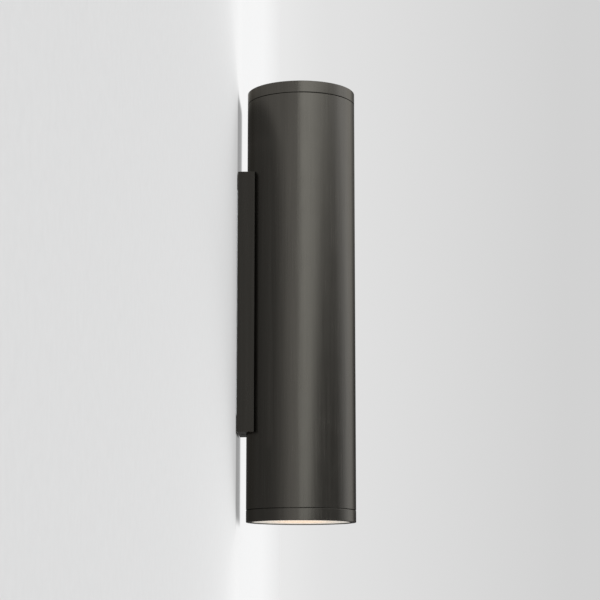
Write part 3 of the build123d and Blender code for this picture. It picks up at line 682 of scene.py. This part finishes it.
slotFinishes = {
    "bronze": "bronze", "zinc_steel": "zincSteel", "bright_steel": "brightSteel",
    "black_steel": "blackSteel", "brass": "brass", "black_rubber": "blackRubber",
    "silicone": "silicone", "nylon": "nylon", "white_plastic": "whitePlastic",
    "frosted_lens": "frostedLens", "lamp_white": "lampWhite", "lamp_glass": "lampGlass",
    "ceramic": "ceramic", "live_sleeve": "liveSleeve", "neutral_sleeve": "neutralSleeve",
    "earth_sleeve": "earthSleeve",
}


# shape helpers
def lathe(outline, steps, closed=True):
    # turns an outline of (radius, height, corner rounding) about the Z axis
    bm = bmesh.new()
    verts = [bm.verts.new((radius, 0, height)) for radius, height, rounding in outline]
    for first, second in zip(verts, verts[1:] + verts[:1] * closed):
        bm.edges.new((first, second))
    for rounding in sorted({corner[2] for corner in outline} - {0}):
        corners = [vert for vert, corner in zip(verts, outline) if corner[2] == rounding]
        bmesh.ops.bevel(
            bm, geom=corners, offset=rounding, offset_type="OFFSET", segments=3,
            profile=0.5, affect="VERTICES", material=-1,
        )
    bmesh.ops.spin(
        bm, geom=bm.verts[:] + bm.edges[:], cent=(0, 0, 0), axis=(0, 0, 1),
        angle=2 * math.pi, steps=steps, use_merge=True,
    )
    bmesh.ops.remove_doubles(bm, verts=bm.verts, dist=0.0001)
    bmesh.ops.recalc_face_normals(bm, faces=bm.faces)
    return bm


def rowsBetween(radius, start, end, rows):
    # extra points along a straight side, for a thread to be worked into
    return [(radius, start + (end - start) * row / rows, 0) for row in range(1, rows)]


# a groove's form over one pitch: how wide it is and how steep its sides and its ends are
threadForm = {"width": 1.6, "sides": 5.0, "ends": 3, "onRadius": 0.01}


def cutThread(bm, size, foot, top, outward=False):
    # works a helical groove into the rows of points that lie on a radius
    pitch = size["pitch"]
    for vert in bm.verts:
        away = math.hypot(vert.co.x, vert.co.y)
        if abs(away - size["threaded"]) > threadForm["onRadius"]:
            continue
        turn = math.atan2(vert.co.y, vert.co.x) / (2 * math.pi)
        phase = (vert.co.z / pitch - turn) % 1.0
        groove = min(1.0, max(0.0, threadForm["width"] - abs(phase - 0.5) * threadForm["sides"]))
        fromEnd = min(top - vert.co.z, vert.co.z - foot)
        fade = min(1.0, max(0.0, fromEnd * threadForm["ends"] / pitch))
        change = size["threadDepth"] * groove * fade * (1 if outward else -1)
        vert.co.x *= 1 + change / away
        vert.co.y *= 1 + change / away


def gather(parts):
    # several meshes as one
    whole = bmesh.new()
    for part in parts:
        mesh = bpy.data.meshes.new("part")
        part.to_mesh(mesh)
        part.free()
        whole.from_mesh(mesh)
        bpy.data.meshes.remove(mesh)
    return whole


def toAxis(bm):
    bmesh.ops.translate(bm, vec=(0, axisY, 0), verts=bm.verts)
    return bm


def toOtherEnd(bm):
    bmesh.ops.rotate(bm, cent=(0, 0, 0), matrix=Matrix.Rotation(math.pi, 3, "Y"), verts=bm.verts)
    return bm


def turnAboutX(bm, degrees):
    turn = Matrix.Rotation(math.radians(degrees), 3, "X")
    bmesh.ops.rotate(bm, cent=(0, 0, 0), matrix=turn, verts=bm.verts)


def boxCutter(low, high):
    bm = bmesh.new()
    bmesh.ops.create_cube(bm, size=1)
    size = [b - a for a, b in zip(low, high)]
    centre = [(a + b) / 2 for a, b in zip(low, high)]
    bmesh.ops.scale(bm, vec=size, verts=bm.verts)
    bmesh.ops.translate(bm, vec=centre, verts=bm.verts)
    return bm


def rodCutter(radius, length, centre, lying=False, sides=48):
    # a round rod, upright or lying along Y
    bm = bmesh.new()
    bmesh.ops.create_cone(
        bm, cap_ends=True, segments=sides, radius1=radius, radius2=radius, depth=length
    )
    if lying:
        turnAboutX(bm, 90)
    bmesh.ops.translate(bm, vec=centre, verts=bm.verts)
    return bm


def meshObject(name, bm):
    mesh = bpy.data.meshes.new(name)
    bm.to_mesh(mesh)
    bm.free()
    made = bpy.data.objects.new(name, mesh)
    bpy.context.scene.collection.objects.link(made)
    return made


def carve(bm, cutters):
    body = meshObject("carveBody", bm)
    tools = [meshObject("carveTool", cutter) for cutter in cutters]
    for tool in tools:
        modifier = body.modifiers.new("carve", "BOOLEAN")
        modifier.operation = "DIFFERENCE"
        modifier.solver = "EXACT"
        modifier.object = tool
    carved = bpy.data.meshes.new_from_object(body.evaluated_get(bpy.context.evaluated_depsgraph_get()))
    bm = bmesh.new()
    bm.from_mesh(carved)
    bpy.data.meshes.remove(carved)
    for spare in [body, *tools]:
        mesh = spare.data
        bpy.data.objects.remove(spare)
        bpy.data.meshes.remove(mesh)
    return bm


copyLook = {"weld": 0.002, "flat": 0.5, "sharp": 28, "segments": 2}  # angles in degrees


def roundedCopy(node, edgeWidth):
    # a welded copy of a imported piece, in millimetres, with its flat sides joined and its edges rounded
    bm = bmesh.new()
    bm.from_mesh(frame["nodes"][node].data)
    bmesh.ops.scale(bm, vec=(1 / mm,) * 3, verts=bm.verts)
    bmesh.ops.remove_doubles(bm, verts=bm.verts, dist=copyLook["weld"])
    bmesh.ops.dissolve_limit(
        bm, angle_limit=math.radians(copyLook["flat"]), verts=bm.verts, edges=bm.edges
    )
    sharp = [
        edge for edge in bm.edges
        if len(edge.link_faces) == 2 and edge.calc_face_angle() > math.radians(copyLook["sharp"])
    ]
    bmesh.ops.bevel(
        bm, geom=sharp, offset=edgeWidth, offset_type="OFFSET", segments=copyLook["segments"],
        profile=0.5, affect="EDGES", clamp_overlap=True, material=-1,
    )
    return bm


def reach(node):
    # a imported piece's lowest and highest corners, in millimetres
    return [[value / mm for value in corner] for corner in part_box(node)]


nodeSlots = {part["node"]: part["material_slot"] for part in frame["record"]["subparts"]}
nodeBodies = {
    node: body
    for body, nodes in frame["record"]["behaviour"]["bodies"].items()
    for node in nodes
}
creaseAngle = 32  # degrees; a wider turn between faces is shaded as an edge


def finishPiece(name, bm, node):
    # brings a piece to metres and gives it its shading, finish and body, and hides the imported node it
    # takes the place of
    bmesh.ops.scale(bm, vec=(mm,) * 3, verts=bm.verts)
    piece = meshObject(name, bm)
    mesh = piece.data
    if "custom_normal" in mesh.attributes:
        mesh.attributes.remove(mesh.attributes["custom_normal"])
    mesh.shade_smooth()
    mesh.set_sharp_from_angle(angle=math.radians(creaseAngle))
    mesh.materials.clear()
    mesh.materials.append(finishes[slotFinishes[nodeSlots[node]]])
    flatter = piece.modifiers.new("flatSides", "WEIGHTED_NORMAL")  # roundings don't bend the flats' shading
    flatter.keep_sharp = True
    flatter.weight = 100
    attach(piece, nodeBodies[node])
    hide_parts(node)


def finishBothEnds(name, make, node):
    # a piece made for the top end, and the same one turned to the bottom end
    finishPiece("top" + name, make(), "top_" + node)
    finishPiece("bottom" + name, toOtherEnd(make()), "bottom_" + node)


# the tube, with its cable window and screw holes at the back
tubeSizes = {
    "radius": 37.4995, "bore": 35.5, "halfLength": 141.7, "rim": 0.3, "steps": 288,
    "windowWidth": 22, "windowHeight": 50, "windowPast": 5,
    "holeRadius": 2.2, "holeHeight": 54, "holeDepth": 20,
    "threaded": 35.5, "threadLength": 9.0, "threadRows": 54, "pitch": 1.5, "threadDepth": 0.4,
}
size = tubeSizes
threadEnd = size["halfLength"] - size["threadLength"]
bm = lathe([
    (size["bore"], -size["halfLength"], 0),
    (size["radius"], -size["halfLength"], size["rim"]),
    (size["radius"], size["halfLength"], size["rim"]),
    (size["bore"], size["halfLength"], 0),
    *rowsBetween(size["bore"], size["halfLength"], threadEnd, size["threadRows"]),
    *rowsBetween(size["bore"], -threadEnd, -size["halfLength"], size["threadRows"]),
], size["steps"])
cutThread(bm, size, threadEnd, size["halfLength"], outward=True)
cutThread(bm, size, -size["halfLength"], -threadEnd, outward=True)
cutters = [boxCutter(
    (-size["windowWidth"] / 2, 0, -size["windowHeight"] / 2),
    (size["windowWidth"] / 2, size["radius"] + size["windowPast"], size["windowHeight"] / 2),
)]
for end in (-1, 1):
    place = (0, size["radius"], end * size["holeHeight"])
    cutters.append(rodCutter(size["holeRadius"], size["holeDepth"], place, lying=True))
finishPiece("tubeBody", toAxis(carve(bm, cutters)), "tube")
print("tube made")

# the end rings: a flange that shows, a threaded spigot inside the tube and a groove for the snap ring
lensLow, lensHigh = reach("top_lens")
gasketLow, gasketHigh = reach("top_lens_gasket")
snapLow, snapHigh = reach("top_snap_ring")
bezelSizes = {
    "radius": 37.4995, "opening": 33.7, "face": 150.0, "seat": 142.0, "foot": 134.0,
    "lensGap": 0.1, "threaded": 35.42, "pocket": 34.42, "groove": 34.82, "groovePlay": 0.05,
    "rim": 0.3, "innerRim": 0.2, "lipRim": 0.08, "lipRoot": 0.1, "footRim": 0.15, "steps": 240,
    "pitch": 1.5, "threadDepth": 0.42, "threadRows": 56, "threadTop": 141.2, "threadFoot": 134.5,
}


def makeBezel():
    size = bezelSizes
    lip = lensHigh[2] + size["lensGap"]
    grooveLow, grooveHigh = snapLow[2] - size["groovePlay"], snapHigh[2] + size["groovePlay"]
    bm = lathe([
        (size["opening"], lip, size["lipRim"]), (size["opening"], size["face"], size["innerRim"]),
        (size["radius"], size["face"], size["rim"]), (size["radius"], size["seat"], size["rim"]),
        (size["threaded"], size["seat"], 0),
        *rowsBetween(size["threaded"], size["seat"], size["foot"], size["threadRows"]),
        (size["threaded"], size["foot"], 0), (size["pocket"], size["foot"], size["footRim"]),
        (size["pocket"], grooveLow, 0), (size["groove"], grooveLow, 0),
        (size["groove"], grooveHigh, 0), (size["pocket"], grooveHigh, 0),
        (size["pocket"], lip, size["lipRoot"]),
    ], size["steps"])
    cutThread(bm, size, size["threadFoot"], size["threadTop"])
    return toAxis(bm)


finishBothEnds("BezelRing", makeBezel, "bezel")
print("end rings made")

# the frosted lenses and their gaskets
lensSizes = {"edge": 0.3, "steps": 160}


def makeLens():
    radius, edge = lensHigh[0], lensSizes["edge"]
    return toAxis(lathe([
        (0, lensLow[2], 0), (radius, lensLow[2], edge), (radius, lensHigh[2], edge), (0, lensHigh[2], 0),
    ], lensSizes["steps"], closed=False))


finishBothEnds("LensDisc", makeLens, "lens")

gasketSizes = {"width": 2.4, "edge": 0.25, "steps": 160}


def makeGasket():
    outer, edge = gasketHigh[0], gasketSizes["edge"]
    inner = outer - gasketSizes["width"]
    return toAxis(lathe([
        (inner, gasketLow[2], edge), (outer, gasketLow[2], edge),
        (outer, gasketHigh[2], edge), (inner, gasketHigh[2], edge),
    ], gasketSizes["steps"]))


finishBothEnds("GasketRing", makeGasket, "lens_gasket")
print("lenses and gaskets made")

# the lamps: a ribbed shell with sockets for its pins, and a glass with rings of prisms inside
lampLow, lampHigh = reach("top_lamp_shell")
lampSizes = {
    "face": 25.0, "cone": 24.2, "glass": 22.0, "ledge": 20.0, "base": 14.5, "hollow": 12.9,
    "rimHeight": 4.0, "ledgeDepth": 2.5, "neckHeight": 16.0, "floor": 4.0, "edge": 0.35,
    "coneRows": 12, "ribs": 30, "ribDepth": 0.8, "ribFlat": 0.5, "ribEnds": 5, "onCone": 0.05,
    "pinX": 5.0, "pinSocket": 1.53, "socketDepth": 2.5, "steps": 240,
}


def makeLampShell():
    size = lampSizes
    foot, face = lampLow[2], lampHigh[2]
    neck, rim, ledge = foot + size["neckHeight"], face - size["rimHeight"], face - size["ledgeDepth"]
    cone = [
        (
            size["base"] + (size["cone"] - size["base"]) * row / size["coneRows"],
            neck + (rim - neck) * row / size["coneRows"], 0,
        )
        for row in range(size["coneRows"] + 1)
    ]
    bm = lathe([
        (0, foot, 0), (size["base"], foot, size["edge"]), *cone, (size["face"], rim, size["edge"]),
        (size["face"], face, size["edge"]), (size["glass"], face, size["edge"] / 2),
        (size["glass"], ledge, 0), (size["ledge"], ledge, 0), (size["hollow"], neck, 0),
        (size["hollow"], foot + size["floor"], 0), (0, foot + size["floor"], 0),
    ], size["steps"], closed=False)
    for vert in bm.verts:
        away = math.hypot(vert.co.x, vert.co.y)
        share = (vert.co.z - neck) / (rim - neck)
        coneRadius = size["base"] + (size["cone"] - size["base"]) * share
        if 0 < share < 1 and abs(away - coneRadius) < size["onCone"]:
            wave = math.cos(size["ribs"] * math.atan2(vert.co.y, vert.co.x))
            fade = min(1.0, size["ribEnds"] * share, size["ribEnds"] * (1 - share))
            change = size["ribDepth"] * max(0.0, size["ribFlat"] - wave) / (1 + size["ribFlat"]) * fade
            vert.co.x *= 1 - change / away
            vert.co.y *= 1 - change / away
    sockets = [
        rodCutter(size["pinSocket"], 2 * size["socketDepth"], (side * size["pinX"], 0, foot))
        for side in (-1, 1)
    ]
    return toAxis(carve(bm, sockets))


finishBothEnds("LampShell", makeLampShell, "lamp_shell")

glassLow, glassHigh = reach("top_lamp_glass")
lampGlassSizes = {"rim": 1, "prisms": 14, "prismDepth": 0.55, "edge": 0.3, "steps": 120}


def makeLampGlass():
    size = lampGlassSizes
    radius = glassHigh[0]
    points = 2 * size["prisms"]
    prisms = [
        (
            (radius - size["rim"]) * (points - point) / points,
            glassLow[2] + size["prismDepth"] * (point % 2), 0,
        )
        for point in range(points + 1)
    ]
    return toAxis(lathe([
        (0, glassHigh[2], 0), (radius, glassHigh[2], size["edge"]),
        (radius, glassLow[2], size["edge"]), *prisms,
    ], size["steps"], closed=False))


finishBothEnds("LampGlass", makeLampGlass, "lamp_glass")
print("lamps made")

# the screws: a slotted head, and a shank with its thread cut
screwSizes = {
    "m4": {"threaded": 2.0, "head": 4.0, "headHeight": 2.6, "dome": 0.6, "pitch": 0.7, "threadDepth": 0.30},
    "m3": {"threaded": 1.5, "head": 2.8, "headHeight": 2.0, "dome": 0.6, "pitch": 0.5, "threadDepth": 0.22},
    "terminal": {"threaded": 1.2, "pitch": 0.45, "threadDepth": 0.18, "edge": 0.15},
    "grub": {
        "threaded": 1.5, "pitch": 0.5, "threadDepth": 0.22, "edge": 0.2, "length": 3.1,
        "socket": 0.866, "socketDepth": 1.6,
    },
}
screwLook = {
    "slotWidth": 0.8, "slotDepth": 0.9, "slotPast": 1, "rowsPerTurn": 7, "steps": 32,
    "tip": 0.2, "headEdge": 0.1,
}


def threadedRod(size, low, high, headPoints):
    # a rod about the Z axis, threaded from low to high, with what the points add above it
    rows = max(2, round((high - low) / size["pitch"] * screwLook["rowsPerTurn"]))
    bm = lathe([
        (0, low, 0), (size["threaded"], low, screwLook["tip"]),
        *rowsBetween(size["threaded"], low + 2 * screwLook["tip"], high, rows), *headPoints,
    ], screwLook["steps"], closed=False)
    cutThread(bm, size, low, high)
    return bm


def slotCutter(radius, top):
    # a slot right across a head, cut from a little past it
    half, reachOut = screwLook["slotWidth"] / 2, radius + screwLook["slotPast"]
    return boxCutter(
        (-reachOut, -half, top - screwLook["slotDepth"]), (reachOut, half, top + screwLook["slotPast"])
    )


def makeScrew(size, length):
    bm = threadedRod(size, -length, 0, [
        (size["threaded"], 0, 0), (size["head"], 0, screwLook["headEdge"]),
        (size["head"], size["headHeight"], size["dome"]), (0, size["headHeight"], 0),
    ])
    return carve(bm, [slotCutter(size["head"], size["headHeight"])])


def frontScrews(node, kind, sides):
    # screws whose heads face the room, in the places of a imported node
    size = screwSizes[kind]
    low, high = reach(node)
    seat = low[1] + size["headHeight"]
    parts = []
    for side in sides:
        bm = makeScrew(size, high[1] - seat)
        turnAboutX(bm, 90)
        x = (low[0] + high[0]) / 2 + side * ((high[0] - low[0]) / 2 - size["head"])
        z = (low[2] + high[2]) / 2 + side * ((high[2] - low[2]) / 2 - size["head"])
        bmesh.ops.translate(bm, vec=(x, seat, z), verts=bm.verts)
        parts.append(bm)
    return gather(parts)


for name, node, kind, sides in (
    ("earthScrewCut", "earth_screw", "m4", (0,)), ("tagScrewCut", "tag_screw", "m4", (0,)),
    ("tubeScrewsCut", "tube_screws", "m4", (-1, 1)), ("blockScrewsCut", "block_screws", "m3", (-1, 1)),
):
    finishPiece(name, frontScrews(node, kind, sides), node)


def makeHolderScrews():
    size = screwSizes["m3"]
    low, high = reach("top_holder_screws")
    seat = low[2] + size["headHeight"]
    parts = []
    for side in (-1, 1):
        bm = makeScrew(size, high[2] - seat)
        turnAboutX(bm, 180)
        bmesh.ops.translate(bm, vec=(side * (high[0] - size["head"]), axisY, seat), verts=bm.verts)
        parts.append(bm)
    return gather(parts)


finishBothEnds("HolderScrewsCut", makeHolderScrews, "holder_screws")


def makeTerminalScrews():
    # three poles with a screw at each end, whose slots face the back
    size = screwSizes["terminal"]
    low, high = reach("terminal_screws")
    length = high[1] - low[1]
    parts = []
    for pole in (-1, 0, 1):
        for end in (-1, 1):
            bm = threadedRod(size, 0, length, [(size["threaded"], length, size["edge"]), (0, length, 0)])
            bm = carve(bm, [slotCutter(size["threaded"], length)])
            turnAboutX(bm, -90)
            x, z = pole * (high[0] - size["threaded"]), end * (high[2] - size["threaded"])
            bmesh.ops.translate(bm, vec=(x, low[1], z), verts=bm.verts)
            parts.append(bm)
    return gather(parts)


finishPiece("terminalScrewsCut", makeTerminalScrews(), "terminal_screws")


def makeGrubScrew():
    # the upper one: its six-sided socket faces up
    size = screwSizes["grub"]
    low, high = reach("grub_screws")
    length = size["length"]
    bm = threadedRod(size, 0, length, [(size["threaded"], length, size["edge"]), (0, length, 0)])
    bm = carve(bm, [rodCutter(size["socket"], 2 * size["socketDepth"], (0, 0, length), sides=6)])
    bmesh.ops.translate(bm, vec=(0, (low[1] + high[1]) / 2, high[2] - length), verts=bm.verts)
    return bm


finishPiece("grubScrewsCut", gather([makeGrubScrew(), toOtherEnd(makeGrubScrew())]), "grub_screws")
print("screws made")

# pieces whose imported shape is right: welded copies with rounded edges, by edge width
softened = {
    "back_box": 0.2, "wall_bracket": 0.15, "cable_grommet": 0.3, "earth_washer": 0.1,
    "chassis": 0.15, "saddle_spacers": 0.2, "earth_tag": 0.1, "terminal_block": 0.2,
    "terminal_clamps": 0.1, "earth_wire": 0.1,
}
for end in ("top", "bottom"):
    softened.update({
        f"{end}_snap_ring": 0.1, f"{end}_lamp_pins": 0.25, f"{end}_holder": 0.25,
        f"{end}_holder_contacts": 0.1, f"{end}_live_wire": 0.1, f"{end}_neutral_wire": 0.1,
    })
for node, width in softened.items():
    words = node.split("_")
    name = words[0] + "".join(word.capitalize() for word in words[1:]) + "Piece"
    finishPiece(name, roundedCopy(node, width), node)
print("inner pieces made:", len(softened))
